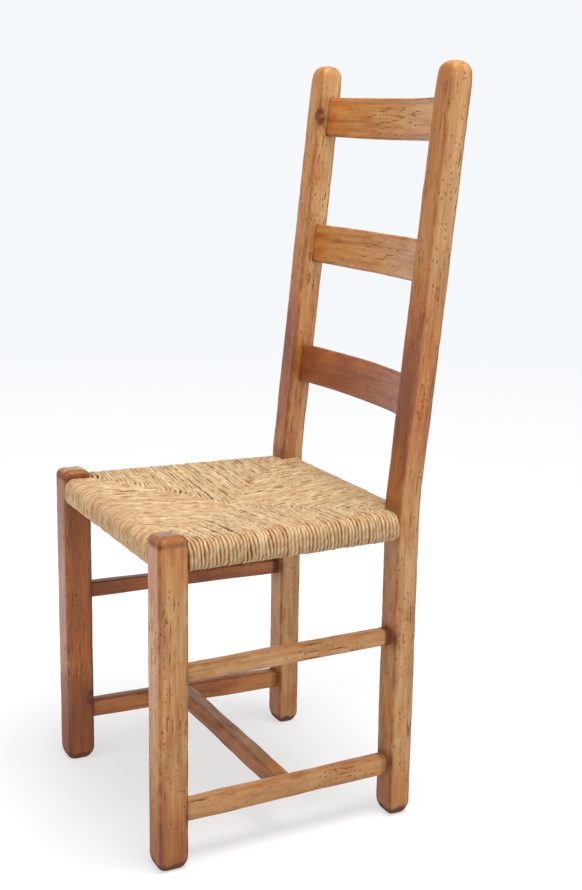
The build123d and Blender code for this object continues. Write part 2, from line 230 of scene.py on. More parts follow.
def waxed_wood():
    """Old waxed hardwood. Streaks and pores run along the grain attribute's first axis, worm holes
    and checks are flecks, and tone, wear, grime, cracks and polish are painted on the points. Low
    tone and grime darken for the wood's own wax and dirt, and also as painted shade."""
    material = bpy.data.materials.new("waxed_wood")
    material.use_nodes = True
    tree = material.node_tree
    shader = tree.nodes["Principled BSDF"]
    grain = reading(tree, "grain", "Vector")
    figure = cloudy(tree, stretched(tree, grain, 5, 60), 5.0, 0.6, 0.6)
    streak = cloudy(tree, stretched(tree, grain, 16, 420), 4.0, 0.65)
    pores = cloudy(tree, stretched(tree, grain, 240, 760), 3.0, 0.65)
    mottle = cloudy(tree, stretched(tree, grain, 24, 50), 4.0, 0.6)
    light = sums(tree, "MULTIPLY_ADD", figure, 0.55, sums(tree, "MULTIPLY", streak, 0.45))
    colour = colours_along(tree, light, WOOD_STREAKS)
    # Low tone darkens along this ramp, both for the wood's own patina and as painted shade.
    darkening = colours_along(tree, reading(tree, "tone"), PATINA_AND_SHADE)
    colour = blend(tree, 1.0, colour, darkening, "MULTIPLY")
    mottled = span(tree, mottle, 0.46, 0.68, 0.0, 0.9)
    colour = blend(tree, mottled, colour, MOTTLE_TINT, "MULTIPLY")
    porous = span(tree, pores, 0.56, 0.72, 0.0, 0.8)
    colour = blend(tree, porous, colour, PORE_TINT, "MULTIPLY")
    rubbed = sums(tree, "MULTIPLY", reading(tree, "wear"), 0.40)
    colour = blend(tree, rubbed, colour, RUBBED_WOOD)
    cluster = cloudy(tree, stretched(tree, grain, 11, 30), 2.0)
    crowd = span(tree, cluster, 0.40, 0.62, 0.08, 0.95)
    dried = sums(tree, "MULTIPLY", crowd, reading(tree, "checks"))
    fine = stretched(tree, grain, 90, 90)
    shift = node(tree, "ShaderNodeTexNoise", Vector=fine, Scale=1.0, Detail=3.0).outputs["Color"]
    settings = {"operation": "MULTIPLY_ADD"}
    bent = node(tree, "ShaderNodeVectorMath", settings, i0=shift, i1=CHECK_WAVER, i2=grain)
    bent = bent.outputs[0]
    check = flecks(tree, stretched(tree, bent, 22, 300), 0.36, sums(tree, "MULTIPLY", dried, 0.75))
    short = flecks(tree, stretched(tree, grain, 120, 300), 0.32, sums(tree, "MULTIPLY", dried, 0.7))
    worm = flecks(tree, stretched(tree, grain, 105, 170), 0.16, sums(tree, "MULTIPLY", crowd, 0.45))
    holes = sums(tree, "MAXIMUM", worm, reading(tree, "cracks"))
    hurt = sums(tree, "MAXIMUM", sums(tree, "MAXIMUM", check, short), holes)
    # Grime darkens towards one dark brown, both for old wax and dirt and as painted shade.
    grime_and_shade = reading(tree, "grime_and_shade")
    colour = blend(tree, sums(tree, "MULTIPLY", hurt, 0.90), colour, CRACK_BROWN)
    colour = blend(tree, grime_and_shade, colour, OLD_WAX_AND_SHADE)
    tree.links.new(colour, shader.inputs["Base Color"])
    gloss = span(tree, streak, 0.3, 0.7, 0.46, 0.34)
    gloss = sums(tree, "MULTIPLY_ADD", reading(tree, "polish"), -0.30, gloss)
    gloss = sums(tree, "MULTIPLY_ADD", sums(tree, "MAXIMUM", hurt, grime_and_shade), 0.45, gloss)
    tree.links.new(gloss, shader.inputs["Roughness"])
    relief = sums(tree, "MULTIPLY_ADD", streak, 0.30, sums(tree, "MULTIPLY", pores, -0.25))
    relief = sums(tree, "MULTIPLY_ADD", hurt, -1.0, relief)
    bump = node(tree, "ShaderNodeBump", Height=relief, Strength=0.55, Distance=0.0006)
    tree.links.new(bump.outputs[0], shader.inputs["Normal"])
    return material


wood = waxed_wood()


def wooden(name, points, grain, arris, grime_and_shade, tone, checks, cracks, polish=0.0):
    """A wooden piece that stands for the node of its name, with its painted attributes. Wear rubs
    the two edges of each planed arris, the arris itself holds old dark wax, and polish is gloss."""
    patches = ripple(points, 0.09, len(name))
    edges = near(arris, 0.966, 0.016) * (0.5 + 0.6 * ripple(points, 0.035, 3))
    facets = np.clip(ease(arris, 0.93, 0.985) * (0.7 + 0.7 * ripple(points, 0.025, 4)), 0, 1)
    attributes = {
        "grain": grain,
        "wear": np.clip(edges, 0, 1),
        "grime_and_shade": np.clip(grime_and_shade + FACET_GRIME * facets, 0, 1),
        "tone": np.clip(tone + PATCH_SHADE * patches - FACET_SHADE * facets, 0, 1),
        "checks": np.clip(checks, 0, 1),
        "cracks": np.clip(cracks, 0, 1),
        "polish": polish + 0 * arris,
    }
    piece = skin(name + "_wood", points, attributes)
    piece.data.materials.append(wood)
    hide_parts(name)
    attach(piece, "root")


def rounded_run(length, head, drawn_in, level):
    """Rows of a post from the sole to the crown: how far along each one is, and how far it is drawn
    in. The foot and the head are quarter ellipses, and level rows, drawn in by so much more than
    the head, close the crown."""
    turn = np.linspace(0, np.pi / 2, 11)
    shaft = np.arange(FOOT_HEIGHT + ROW_STEP, length - head - ROW_STEP, ROW_STEP)
    foot_along = FOOT_HEIGHT * (1 - np.cos(turn))
    foot_inset = FOOT_ROUND * (1 - np.sin(turn))
    head_along = length - CROWN_RISE - head * (1 - np.sin(turn))
    head_inset = drawn_in * (1 - np.cos(turn))
    crown_inset = drawn_in + np.array(level)
    along = np.concatenate([[0.0], foot_along, shaft, head_along, length + 0 * crown_inset])
    sole_inset = [FOOT_ROUND + SOLE_INSET]
    inset = np.concatenate([sole_inset, foot_inset, 0 * shaft, head_inset, crown_inset])
    return along, inset


def worn_round(along):
    """How far a foot is worn: a smooth step from 1 at the sole to 0 a little above its rounding."""
    return ease(along, 1.3 * FOOT_HEIGHT, 0.0)


def spared(angle, share):
    """How much of each arris the plane took: a share less on the front arris to the sitter's left,
    by the fourth power of the cosine of the angle from it."""
    return 1 - share * np.clip(np.cos(angle + np.pi / 4), 0, 1) ** 4


def hand_planed(points, spine, arris, inset, seed):
    """The points pushed in and out from the spine by the plane's long waver and by small dents, and
    pushed in where the arrises are nibbled."""
    outward = points - spine[:, None]
    outward /= np.linalg.norm(outward, axis=-1, keepdims=True) + 1e-9
    waver = ripple(points, 0.14, seed) + 0.4 * ripple(points, 0.03, seed + 1)
    bites = ease(arris, 0.90, 0.97) * ease(ripple(points, 0.020, seed + 4), 0.1, 0.7)
    push = (PLANING * waver - NIBBLE * bites) * (inset < 1e-6)[:, None]
    return points + outward * push[..., None]


def knot(away, width, radius, points):
    """A dark ragged ring round a paler eye, from the distances along the grain and across it."""
    distance = np.hypot(away / 1.3, width)
    ring = near(distance, radius, 0.45 * radius) * (0.55 + 0.9 * ripple(points, 0.016, 8))
    return np.clip(ring, 0, 1) + 0.40 * near(distance, 0, 2.2 * radius)


def front_post(name, seed, tone, knotted):
    """The planed section carried straight up from the sole to the domed top."""
    low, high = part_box(name)
    half = (high.x - low.x) / 2
    along, inset = rounded_run(high.z, FRONT_DOME, FRONT_TOP_INSET, FRONT_LEVEL)
    rows = len(along)
    x, y = (low.x + high.x) / 2, (low.y + high.y) / 2
    spine = np.stack([0 * along + x, 0 * along + y, along], -1)
    side = np.tile((1.0, 0, 0), (rows, 1))
    back = np.tile((0, 1.0, 0), (rows, 1))
    size = half - inset
    worn_foot = worn_round(along)
    planed = POST_ARRIS * (1 + 0.25 * ripple(spine, 0.10, seed + 2)) * size / half
    planed = planed * (1 + FOOT_WEAR * worn_foot)
    crisp = POST_CRISPNESS + 5 * ripple(spine, 0.07, seed + 3) - FOOT_SOFTENING * worn_foot
    angle = round_section(POST_COLUMNS)
    planed = planed[:, None] * spared(angle, FRONT_SPARED)
    points, arris = carry(spine, side, back, size, size, planed, crisp, angle)
    points = hand_planed(points, spine, arris, inset, seed)
    height = points[..., 2]
    local = points - spine[:, None]
    across, deep = local[..., 0], local[..., 1]
    grain = np.stack([height + GRAIN_STEP * seed, across + GRAIN_SHIFT * seed, deep], -1)
    inner = ease(deep / half, 0.6, 0.9)
    joints = inner * sum(near(height, level, 0.016) for level in (LOWER_LEVEL, UPPER_LEVEL))
    ragged = height + 0.0025 * ripple(points, 0.012, seed + 5)
    # The dark rim at the sole is painted contact shade, and seated darkens the post from a little
    # under the seat upward as painted shade.
    footing, seated = ease(height, *FOOT_SHADE), ease(height, *SEAT_SHADE)
    grime_and_shade = 0.95 * ease(ragged, SOLE_SHADE, SOLE_FULL) + 0.31 * footing + 0.35 * joints
    ledge = 0.45 + 0.3 * ripple(points, 0.02, seed + 6)
    ledge = ledge * near(height, high.z - FRONT_DOME, 0.003)
    grime_and_shade = grime_and_shade + ledge + 0.30 * near(height, high.z - 0.0075, 0.004)
    # The front face is darkened as painted shade.
    front = ease(-deep / half, 0.6, 0.9)
    grime_and_shade = grime_and_shade + 0.08 * front + 0.06 * seated
    if knotted:
        aside = np.hypot(across - FOOT_KNOT[1], deep - FOOT_KNOT[2])
        grime_and_shade = grime_and_shade + knot(height - FOOT_KNOT[0], aside, KNOT_RADIUS, points)
    shade = tone * (1 - 0.56 * footing) - 0.12 * front - 0.24 * seated
    top = ease(height, high.z - 0.006, high.z - 0.0018)
    shade = shade + (0.80 - shade) * top
    grime_and_shade = grime_and_shade + 0.42 * top
    checks = 0.20 + 0.9 * near(height, 0.355, 0.055) + 0.8 * near(height, 0.17, 0.07)
    wooden(name, points, grain, arris, grime_and_shade, shade, checks, 0 * height, top)


# The post on the sitter's right has a far lower tone: partly browner wood, partly painted shade
# under the seat.
front_post("front_post_left", 11, 0.96, False)
front_post("front_post_right", 23, 0.20, True)

# Rear posts: each is sawn from one plank to a cranked outline, upright below the seat and raked
# above it, then rounded over at the crown. Mortises on their inner faces take the slats.
BEND_HEIGHT = 0.470
RAKE = np.radians(5.75)
BEND_SOFTNESS = 0.012
REAR_DEPTH = 0.036
REAR_ARRIS = 0.0035
REAR_CRISPNESS = 26.0
REAR_SPARED = 0.50
REAR_TOP_ROUND = 0.015
REAR_LEVEL = (0.0025,)
SLAT_LEVELS = (0.9981, 0.8045, 0.6152)
BACK_KNOT = (0.9985, 0.0195, -0.0162)


def rear_spine(along):
    """Middle line of a rear post at the given lengths from the floor, as distance back from the
    foot, height and lean. The bend is half a hyperbola between the two straight runs."""
    above = along - BEND_HEIGHT
    bent = (above + np.sqrt(above**2 + BEND_SOFTNESS**2)) / 2
    lean = RAKE * (1 + above / np.sqrt(above**2 + BEND_SOFTNESS**2)) / 2
    return bent * np.sin(RAKE), along - bent * (1 - np.cos(RAKE)), lean


def rear_post(name, seed, tone, darkening, dull, knotted):
    """The planed section carried up the cranked spine, square to it all the way. A knotted post has
    a dark ring and a paler halo high on its front arris, with a short tail below it."""
    low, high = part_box(name)
    half_wide = (high.x - low.x) / 2
    half_deep = REAR_DEPTH / 2
    hand = np.sign(low.x + high.x)
    length = BEND_HEIGHT + (high.z - BEND_HEIGHT) / np.cos(RAKE)
    along, inset = rounded_run(length, REAR_TOP_ROUND, REAR_TOP_ROUND, REAR_LEVEL)
    rows = len(along)
    back, height, lean = rear_spine(along)
    spine = np.stack([0 * along + (low.x + high.x) / 2, low.y + half_deep + back, height], -1)
    side = np.tile((1.0, 0, 0), (rows, 1))
    behind = np.stack([0 * lean, np.cos(lean), -np.sin(lean)], -1)
    planed = REAR_ARRIS * (1 + 0.25 * ripple(spine, 0.10, seed + 2))
    planed = planed * (half_deep - inset) / half_deep
    worn_foot = worn_round(along)
    planed = planed * (1 + 0.8 * ease(along, length - 0.03, length) + FOOT_WEAR * worn_foot)
    crisp = REAR_CRISPNESS - 19 * ease(along, length - 0.05, length) + ripple(spine, 0.07, seed + 3)
    crisp = crisp - FOOT_SOFTENING * worn_foot
    sizes = half_wide - inset, half_deep - inset
    angle = round_section(POST_COLUMNS)
    planed = planed[:, None] * spared(angle, REAR_SPARED)
    points, arris = carry(spine, side, behind, *sizes, planed, crisp, angle)
    points = hand_planed(points, spine, arris, inset, seed)
    local = points - spine[:, None]
    across, deep = local[..., 0], (local * behind[:, None]).sum(-1)
    run = np.broadcast_to(along[:, None], arris.shape)
    grain = np.stack([run + GRAIN_STEP * seed, across + GRAIN_SHIFT * seed, deep], -1)
    front = ease(-deep / half_deep, 0.6, 0.9)
    inner = ease(-across * hand / half_wide, 0.6, 0.9)
    joints = front * sum(near(run, level, 0.014) for level in (LOWER_LEVEL + 0.006, UPPER_LEVEL))
    slots = inner * sum(near(run, level + 0.003, 0.030) for level in SLAT_LEVELS)
    ragged = run + 0.0025 * ripple(points, 0.012, seed + 5)
    # The dark rim at the sole is painted contact shade.
    grime_and_shade = 0.95 * ease(ragged, SOLE_SHADE, SOLE_FULL) + 0.12 * ease(run, 0.06, 0.0)
    # Painted shadow of the side stretchers darkens the front face at their two heights. The dull
    # share darkens that face as painted shade and also roughens it, and a thin dark band lies on it
    # at the bend.
    grime_and_shade = grime_and_shade + 0.60 * joints + 0.18 * slots + front * (dull + 0.35 * near(run, 0.468, 0.008))
    if knotted:
        aside = np.hypot(across - BACK_KNOT[1], deep - BACK_KNOT[2])
        tail = near(deep, -0.012 + 0.7 * (BACK_KNOT[0] - 0.006 - run), 0.0022)
        tail = tail * near(run, BACK_KNOT[0] - 0.018, 0.012) * ease(across, 0.012, 0.018)
        grime_and_shade = grime_and_shade + knot(run - BACK_KNOT[0], aside, 1.15 * KNOT_RADIUS, points) + 0.55 * tail
    shade = tone - darkening * near(run, 0.62, 0.11) - 0.25 * ease(run, 0.12, 0.03)
    # The whole front face is darker as painted shade, and darker still round hand height from
    # handling.
    shade = shade - front * (0.30 + 0.35 * near(run, 0.60, 0.14))
    checks = 0.22 + 0.8 * near(run, 0.66, 0.10) + 0.6 * near(run, 0.33, 0.08)
    checks = checks + 0.5 * near(run, 0.90, 0.08)
    wooden(name, points, grain, arris, grime_and_shade, shade, checks, 0 * run)


rear_post("rear_post_left", 37, 0.98, 0.45, 0.17, False)
rear_post("rear_post_right", 41, 0.98, 0.30, 0.06, True)

# Back slats: three thin boards steamed to one hollow and let into the rear posts. Drying has
# opened stepped cracks along their grain, most of all on the sitter's left of the middle.
SLAT_WIDTH = 0.060
SLAT_THICKNESS = 0.012
SLAT_BOW = 0.017
SLAT_SET_BACK = 0.0025
SLAT_LET_IN = 0.010
SLAT_ARRIS = 0.0022
SLAT_CRISPNESS = 22.0
SLAT_ROWS = 381
SLAT_FACE_COLUMNS, SLAT_BACK_COLUMNS = 101, 50
CRACK_HALF = 0.00042
CRACK_DEPTH = 0.0005
top_cracks = (
    (-0.063, 0.0020, 0.026, 0.0030, 1),
    (-0.031, 0.0105, 0.037, 0.0040, 1),
    (-0.039, -0.0080, 0.066, 0.0060, 2),
    (0.026, 0.0100, 0.020, 0.0055, 3),
    (0.030, 0.0010, 0.017, 0.0020, 1),
    (0.054, 0.0070, 0.041, 0.0035, 1),
    (-0.010, -0.0125, 0.020, 0.0010, 1),
    (0.060, -0.0050, 0.008, 0.0, 1),
)
middle_cracks = (
    (-0.036, 0.0025, 0.068, 0.0180, 4),
    (0.0095, -0.0075, 0.051, 0.0078, 1),
    (-0.034, -0.0080, 0.013, 0.0, 1),
    (0.068, 0.0085, 0.011, 0.0, 1),
    (-0.114, -0.0155, 0.005, 0.0, 1),
    (-0.062, -0.0150, 0.006, 0.0, 1),
)
bottom_cracks = (
    (0.035, 0.0080, 0.014, -0.0030, 1),
    (0.020, -0.0040, 0.008, 0.0, 1),
    (0.052, -0.0060, 0.014, -0.0040, 1),
)
slat_marks = (
    ("top_slat", 53, 0.70, top_cracks),
    ("middle_slat", 61, 0.70, middle_cracks),
    ("bottom_slat", 67, 0.12, bottom_cracks),
)


def stepped_crack(run, width, start, low_end, length, climb, steps):
    """One drying crack: a thin line that runs with the grain from its start over its length, and
    climbs by short steep risers, as many as the steps. It is 1 within its half width and fades
    beyond, and it thins out towards its two ends."""
    share = (run - start) / length
    tread = np.clip(share, 0, 1) * steps
    stairs = np.floor(tread) + ease(tread - np.floor(tread), 0.35, 0.65)
    line = low_end + climb * stairs / steps + 0.0003 * np.sin(run * 900) * np.sin(run * 370)
    taper = np.sqrt(np.clip(4 * share * (1 - share), 0, 1))
    away = np.abs(width - line) + 0.004 * (1 - ease(taper, 0.0, 0.3))
    return ease(away, CRACK_HALF * (0.6 + taper) + 0.0004, CRACK_HALF * taper * 0.6)


def back_slat(name, seed, tone, cracks, level):
    """A thin section carried along a flat arc whose bow is the slat's hollow between the posts, in
    a plane square to the raked posts. Its front face has close columns, to carry the cracks."""
    post_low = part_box("rear_post_left")[0]
    inner = post_low.x
    reach = inner + SLAT_LET_IN
    radius = (inner**2 + SLAT_BOW**2) / (2 * SLAT_BOW)
    x = np.linspace(-reach, reach, SLAT_ROWS)
    hollow = np.sqrt(radius**2 - x**2) - np.sqrt(radius**2 - inner**2)
    up = np.array((0, np.sin(RAKE), np.cos(RAKE)))
    behind = np.array((0, np.cos(RAKE), -np.sin(RAKE)))
    post_y = post_low.y + REAR_DEPTH / 2 + (level - BEND_HEIGHT) * np.tan(RAKE)
    spine = np.array((0, post_y, level)) + x[:, None] * (1.0, 0, 0)
    spine = spine + (SLAT_SET_BACK + hollow)[:, None] * behind
    turn = np.arcsin(x / radius)
    through = np.cos(turn)[:, None] * behind + np.sin(turn)[:, None] * np.array((1.0, 0, 0))
    upward = np.tile(up, (len(x), 1))
    half_up = SLAT_WIDTH / 2 + 0.0005 * ripple(spine, 0.16, seed)
    half_through = SLAT_THICKNESS / 2 + 0.0002 * ripple(spine, 0.10, seed + 1)
    planed = SLAT_ARRIS * (1 + 0.3 * ripple(spine, 0.06, seed + 2))
    face_angle = np.arctan2(-1, np.linspace(-1, 1, SLAT_FACE_COLUMNS))
    back_angle = np.linspace(-np.pi / 4, 5 * np.pi / 4, SLAT_BACK_COLUMNS + 2)[1:-1]
    angle = np.concatenate([face_angle, back_angle])
    sizes = half_up, half_through, planed[:, None]
    points, arris = carry(spine, upward, through, *sizes, SLAT_CRISPNESS + 0 * x, angle)
    local = points - spine[:, None]
    width, deep = local @ up, (local * through[:, None]).sum(-1)
    run = np.broadcast_to(x[:, None], width.shape)
    grain = np.stack([run + GRAIN_STEP * seed, width + GRAIN_SHIFT * seed, deep], -1)
    open_lines = np.max([stepped_crack(run, width, *crack) for crack in cracks], axis=0)
    open_lines = open_lines * ease(-deep, 0.003, 0.005)
    points = points + (CRACK_DEPTH * open_lines)[..., None] * through[:, None]
    grime_and_shade = 0.40 * ease(np.abs(run), inner - 0.005, inner - 0.001)
    grime_and_shade = grime_and_shade + 0.10 * ease(np.abs(width), 0.025, 0.030)
    grime_and_shade = grime_and_shade + 0.45 * near(run, -inner, 0.008) * near(width, -0.027, 0.008)
    # Tone rises a little towards the end on the sitter's left: a painted reflection.
    shade = tone + 0.10 * ease(run, -0.1, 0.15) - 0.25 * ease(run, -inner + 0.05, -inner)
    checks = 0.10 + 0.20 * near(width, -0.015, 0.012)
    wooden(name, points, grain, arris, grime_and_shade, shade, checks, open_lines)


for marks, level in zip(slat_marks, SLAT_LEVELS):
    back_slat(*marks, level)

# Side stretchers: square bars with worn corners, two on each side, tenoned into the posts. A dark
# band of painted shadow lies on their rear ends against the rear posts, and their front ends are
# darker against the front posts.
STRETCHER_ARRIS = 0.0022
STRETCHER_CRISPNESS = 16.0
STRETCHER_LET_IN = 0.006
BAR_ROWS, BAR_COLUMNS = 141, 64
DARK_END = 0.009
LOWER_BAR_WIDTH = 0.021
# The low tones of the bars on the sitter's right are painted shade under the seat.
side_bars = (
    ("upper_stretcher", 0.019, 0.0235, 71, 0.90, 0.12, 0.92),
    ("lower_stretcher", LOWER_BAR_WIDTH, 0.0295, 83, 0.90, 0.45, 0.30),
)


def side_stretcher(name, wide, tall, seed, tone, painted_shade):
    """The worn section carried straight from a front post to the rear post behind it."""
    hand = name.rsplit("_", 1)[1]
    front_low, front_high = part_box("front_post_" + hand)
    rear_low, rear_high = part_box("rear_post_" + hand)
    low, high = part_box(name)
    start = np.array(((front_low.x + front_high.x) / 2, front_high.y, (low.z + high.z) / 2))
    end = np.array(((rear_low.x + rear_high.x) / 2, rear_low.y, (low.z + high.z) / 2))
    length = np.linalg.norm(end - start)
    way = (end - start) / length
    along = np.linspace(-STRETCHER_LET_IN, length + STRETCHER_LET_IN, BAR_ROWS)
    spine = start + along[:, None] * way
    rows = len(along)
    across = np.tile((way[1], -way[0], 0), (rows, 1))
    upward = np.tile((0, 0, 1.0), (rows, 1))
    half_wide = wide / 2 + 0.0005 * ripple(spine, 0.11, seed)
    half_tall = tall / 2 + 0.0006 * ripple(spine, 0.13, seed + 1)
    planed = STRETCHER_ARRIS * (1 + 0.3 * ripple(spine, 0.07, seed + 2))
    crisp = STRETCHER_CRISPNESS + 3 * ripple(spine, 0.05, seed + 3)
    sizes = half_wide, half_tall, planed[:, None]
    points, arris = carry(spine, across, upward, *sizes, crisp, round_section(BAR_COLUMNS))
    local = points - spine[:, None]
    run = np.broadcast_to(along[:, None], arris.shape)
    width, rise = (local * across[:, None]).sum(-1), local[..., 2]
    grain = np.stack([run + GRAIN_STEP * seed, width + GRAIN_SHIFT * seed, rise], -1)
    # A dark band at the rear end is painted shadow where the bar meets the rear post.
    grime_and_shade = painted_shade * ease(run, length - DARK_END - 0.002, length - DARK_END)
    grime_and_shade = grime_and_shade + 0.30 * ease(run, 0.006, 0.0)
    checks = 0.25 + 0.45 * near(run, 0.24, 0.06)
    wooden(name, points, grain, arris, grime_and_shade, tone + 0 * run, checks, 0 * run)


for bar, wide, tall, seed, left_tone, right_tone, painted_shade in side_bars:
    side_stretcher(bar + "_left", wide, tall, seed, left_tone, painted_shade)
    side_stretcher(bar + "_right", wide, tall, seed + 5, right_tone, painted_shade)

# Cross stretcher: one bar that ties the two lower side stretchers together below the seat, where
# heels rest on it. Its top is painted pale as if lit from above, its sides and front side dark as
# painted shade, and its ends are let into the side bars.
CROSS_LET_IN = 0.004
low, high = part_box("cross_stretcher")
side_low, side_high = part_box("lower_stretcher_left")
cross_reach = (side_low.x + side_high.x) / 2 - LOWER_BAR_WIDTH / 2 + CROSS_LET_IN
x = np.linspace(-cross_reach, cross_reach, BAR_ROWS)
spine = np.stack([x, 0 * x + (low.y + high.y) / 2, 0 * x + (low.z + high.z) / 2], -1)
half_deep = (high.y - low.y) / 2 + 0.0005 * ripple(spine, 0.11, 91)
half_tall = (high.z - low.z) / 2 + 0.0005 * ripple(spine, 0.12, 92)
planed = STRETCHER_ARRIS * (1 + 0.3 * ripple(spine, 0.07, 93))
crisp = STRETCHER_CRISPNESS + 3 * ripple(spine, 0.05, 94)
back = np.tile((0, 1.0, 0), (len(x), 1))
upward = np.tile((0, 0, 1.0), (len(x), 1))
cross_sizes = half_deep, half_tall, planed[:, None]
points, arris = carry(spine, back, upward, *cross_sizes, crisp, round_section(BAR_COLUMNS))
local = points - spine[:, None]
run = np.broadcast_to(x[:, None], arris.shape)
grain = np.stack([run + 36, local[..., 1] + 10, local[..., 2]], -1)
grime_and_shade = 0.35 * ease(np.abs(run), cross_reach - 0.016, cross_reach - 0.004)
grime_and_shade = grime_and_shade + 0.24 * ease(ripple(points * (0.25, 1, 1), 0.02, 95), 0.0, 0.6)
# Painted shade darkens the front side.
grime_and_shade = grime_and_shade + 0.20 * ease(-local[..., 1], 0.006, 0.009)
# The sides take a low tone below a paler top: painted shade, and painted light from above.
shade = 0.26 + 0.44 * ease(local[..., 2], 0.006, 0.012)
wooden("cross_stretcher", points, grain, arris, grime_and_shade, shade, 0.35 + 0 * run, 0 * run)

# Seat rails: four bars of unfinished wood, tenoned into the posts, which carry the rush. They
# are hidden inside the wound seat.
PLAIN_WOOD = (0.52, 0.35, 0.19)


def inside_finish(name, colour, along, across, roughness):
    """A dull fibrous finish: one colour, darkened by noise drawn out along two object axes."""
    material = bpy.data.materials.new(name)
    material.use_nodes = True
    tree = material.node_tree
    shader = tree.nodes["Principled BSDF"]
    places = node(tree, "ShaderNodeTexCoord").outputs["Object"]
    drawn = node(tree, "ShaderNodeMapping", Vector=places, Scale=(along, along, across)).outputs[0]
    fibres = cloudy(tree, drawn, 5.0)
    dark = tuple(0.45 * part for part in colour)
    shaded = blend(tree, span(tree, fibres, 0.35, 0.65), dark, colour)
    tree.links.new(shaded, shader.inputs["Base Color"])
    bump = node(tree, "ShaderNodeBump", Height=fibres, Strength=0.6, Distance=0.001)
    tree.links.new(bump.outputs[0], shader.inputs["Normal"])
    shader.inputs["Roughness"].default_value = roughness
    return material


plain_wood = inside_finish("plain_wood", PLAIN_WOOD, 25, 500, 0.65)
for side in ("front", "back", "left", "right"):
    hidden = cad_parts[side + "_seat_rail"]
    hidden.data.materials.clear()
    hidden.data.materials.append(plain_wood)

# Packing: loose ends of rush pushed in from each side between the two layers of the seat. Only the
# gaps between the strands show it, brown and dark.
LOOSE_RUSH = (0.60, 0.26, 0.08)
ROLL = 0.0415
RUSH_THICKNESS = 0.0065
SEAT_DIP, SLACK_POWER = 0.0155, 1.12
STRAND_HALF_HEIGHT = 0.0029
PACKING_ROWS, PACKING_COLUMNS = 40, 64
PACKING_START, PACKING_STOP = 0.030, 0.001
PACKING_CLEAR = 0.0006
PACKING_SOFTNESS = 8
MITRE_CLEAR = 0.0015
front_rail_low, front_rail_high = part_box("front_seat_rail")
back_rail_low, back_rail_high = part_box("back_seat_rail")
front_rail_y = (front_rail_low.y + front_rail_high.y) / 2
back_rail_y = (back_rail_low.y + back_rail_high.y) / 2
rail_z = (front_rail_low.z + front_rail_high.z) / 2
crown = rail_z + ROLL / 2 - STRAND_HALF_HEIGHT
seat_middle = (front_rail_y + back_rail_y) / 2
seat_depth = (back_rail_y - front_rail_y) / 2
front_low, front_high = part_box("front_post_left")
rear_low, rear_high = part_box("rear_post_left")
loose_rush = inside_finish("loose_rush", LOOSE_RUSH, 180, 260, 0.85)


def side_rail_x(y):
    """Where the middle line of the left seat rail stands: straight between the two posts."""
    start, end = front_high.x - ROLL / 2, rear_high.x - ROLL / 2
    return start + (end - start) * (y - front_high.y) / (rear_low.y - front_high.y)


def slack(distance, reach):
    """Height of a strand's middle line on top of the seat: it climbs from the dip in the middle to
    the crown of the roll, by a power of its distance from the rail."""
    return crown - SEAT_DIP * np.clip(1 - distance / reach, 0, 1) ** SLACK_POWER


def packed_side(side, out, reach, widening):
    """A flat lumpy pad carried from the middle of the seat to its rail. Its half width grows with
    the distance, and it fills the room between the two layers of strands."""
    end = reach - ROLL / 2 + RUSH_THICKNESS - PACKING_STOP
    distance = np.linspace(PACKING_START, end, PACKING_ROWS)
    bottom = rail_z - ROLL / 2 + 2 * STRAND_HALF_HEIGHT + PACKING_CLEAR
    top = slack(distance, reach) - STRAND_HALF_HEIGHT - PACKING_CLEAR
    spine = distance[:, None] * np.array((*out, 0)) + np.array((0, seat_middle, 0))
    spine[:, 2] = (top + bottom) / 2
    half_wide = distance * widening - MITRE_CLEAR
    half_tall = (top - bottom) / 2
    turned = np.cross((*out, 0), (0, 0, 1.0))
    across = np.tile(turned, (len(distance), 1))
    upward = np.tile((0, 0, 1.0), (len(distance), 1))
    soft = 0 * distance + PACKING_SOFTNESS
    sizes = half_wide, half_tall, 0.2 * half_tall[:, None]
    points, _ = carry(spine, across, upward, *sizes, soft, round_section(PACKING_COLUMNS))
    lumps = 0.04 * (1 + ripple(points, 0.012, 7))
    points = points + (spine[:, None] - points) * np.clip(lumps, 0, 0.09)[..., None]
    pad = skin(side + "_filling", points[::-1], {})
    pad.data.materials.append(loose_rush)
    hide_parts(side + "_packing")
    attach(pad, "root")


side_reach = side_rail_x(seat_middle)
packed_side("front", (0, -1), seat_depth, side_rail_x(front_rail_y) / seat_depth)
packed_side("back", (0, 1), seat_depth, side_rail_x(back_rail_y) / seat_depth)
packed_side("left", (1, 0), side_reach, seat_depth / side_reach)
packed_side("right", (-1, 0), side_reach, seat_depth / side_reach)

# Rush seat: cords twisted from damp rush leaves, wound over each rail in turn from the corners to
# the middle. They lie side by side square to their rail, and hook down through the mitres.
STRAND_PITCH = 0.0055
STRAND_HALF_WIDTH = 0.0034
STRAND_COLUMNS = 12
TWIST_LENGTH = 0.024
ROLL_CORNER = 0.0125
HOOK_REACH = 0.024
HOOK_DROP, TAIL_DROP, TAIL_SHORT = 0.0035, 0.004, 0.004
QUARTER_ROWS, CLIMB_ROWS, FALL_ROWS, RETURN_ROWS = 7, 45, 6, 23
STRAIGHT_BEND, SIDE_BEND = 0.003, 0.007
MITRE_OVERLAP, MIDDLE_STOP, MIDDLE_EASE = 0.0085, 0.003, 0.02
START_SCATTER, SIDE_SCATTER, LEAN_SCATTER, LIFT_SCATTER = 0.0012, 0.00025, 0.0004, 0.00040
WIDTH_SCATTER, HEIGHT_SCATTER = 0.11, 0.04
HELD_WANDER, FREE_WANDER, LIFT_WAVER = 0.0014, 0.0006, 0.00050
ROLL_LEAN = 0.0030
LOBE, SWELLING = 0.08, 0.05
LAY_RADIUS = 0.003
POST_GAP = -0.0006
DULL_STRAW, PALE_STRAW = (0.382, 0.260, 0.126), (0.492, 0.378, 0.222)
FIBRE_SHADE = (0.310, 0.178, 0.076)
BLEACHED_LEAF, BROWN_LEAF = (0.610, 0.480, 0.305), (0.340, 0.205, 0.090)
GROOVE_SHADE = (0.225, 0.058, 0.010)


